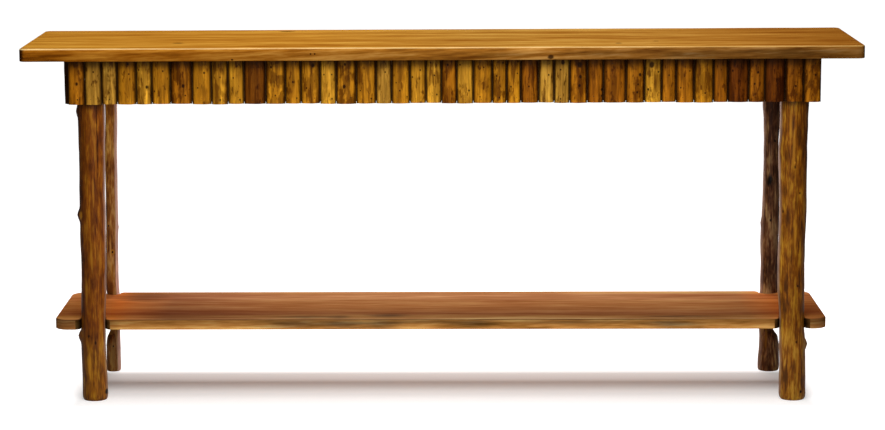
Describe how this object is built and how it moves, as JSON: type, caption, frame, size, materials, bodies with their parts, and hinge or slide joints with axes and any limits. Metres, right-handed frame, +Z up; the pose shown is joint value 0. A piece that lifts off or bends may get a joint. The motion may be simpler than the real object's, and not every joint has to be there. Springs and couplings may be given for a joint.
{
  "type": "console table",
  "caption": "Rustic pole-and-plank console table with a plank top, an apron of upright half logs, peeled pole legs and a notched lower shelf.",
  "frame": {"origin": "on the floor, under the middle of the top", "axes": "+X along the table to the right as seen from the front, +Y towards the back, +Z up"},
  "size_m": [1.838, 0.406, 0.794],
  "materials": {
    "top_plank": "satin varnish over a golden brown stain",
    "shelf_plank": "satin varnish over a reddish brown stain",
    "front_pole": "peeled pole, satin varnish",
    "back_pole": "peeled pole, satin varnish, darker",
    "half_log_pale": "peeled half log, satin varnish, pale",
    "half_log_gold": "peeled half log, satin varnish, golden",
    "half_log_amber": "peeled half log, satin varnish, amber",
    "half_log_dark": "peeled half log, satin varnish, dark",
    "frame_board": "plain sawn board, thin stain",
    "steel_fastener": "zinc plated"
  },
  "bodies": {
    "root": {"top_board": "top_plank", "shelf_board": "shelf_plank", "leg_front_left": "front_pole", "leg_front_right": "front_pole", "leg_back_left": "back_pole", "leg_back_right": "back_pole", "apron_board_front": "frame_board", "apron_board_back": "frame_board", "apron_board_left": "frame_board", "apron_board_right": "frame_board", "front_log_01": "half_log_amber", "front_log_02": "half_log_pale", "front_log_03": "half_log_pale", "front_log_04": "half_log_gold", "front_log_05": "half_log_gold", "front_log_06": "half_log_amber", "front_log_07": "half_log_dark", "front_log_08": "half_log_amber", "front_log_09": "half_log_gold", "front_log_10": "half_log_pale", "front_log_11": "half_log_dark", "front_log_12": "half_log_gold", "front_log_13": "half_log_gold", "front_log_14": "half_log_gold", "front_log_15": "half_log_gold", "front_log_16": "half_log_dark", "front_log_17": "half_log_amber", "front_log_18": "half_log_pale", "front_log_19": "half_log_amber", "front_log_20": "half_log_gold", "front_log_21": "half_log_pale", "front_log_22": "half_log_dark", "front_log_23": "half_log_gold", "front_log_24": "half_log_amber", "front_log_25": "half_log_amber", "front_log_26": "half_log_gold", "front_log_27": "half_log_dark", "front_log_28": "half_log_pale", "front_log_29": "half_log_gold", "front_log_30": "half_log_dark", "front_log_31": "half_log_amber", "front_log_32": "half_log_amber", "front_log_33": "half_log_amber", "front_log_34": "half_log_gold", "front_log_35": "half_log_amber", "front_log_36": "half_log_pale", "front_log_37": "half_log_amber", "front_log_38": "half_log_gold", "front_log_39": "half_log_dark", "front_log_40": "half_log_pale", "front_log_41": "half_log_dark", "front_log_42": "half_log_gold", "front_log_43": "half_log_dark", "back_logs": "half_log_amber", "left_end_logs": "half_log_amber", "right_end_logs": "half_log_amber", "top_cleats": "frame_board", "top_screws": "steel_fastener", "leg_bolts": "steel_fastener", "shelf_tongues": "frame_board"}
  },
  "joints": []
}
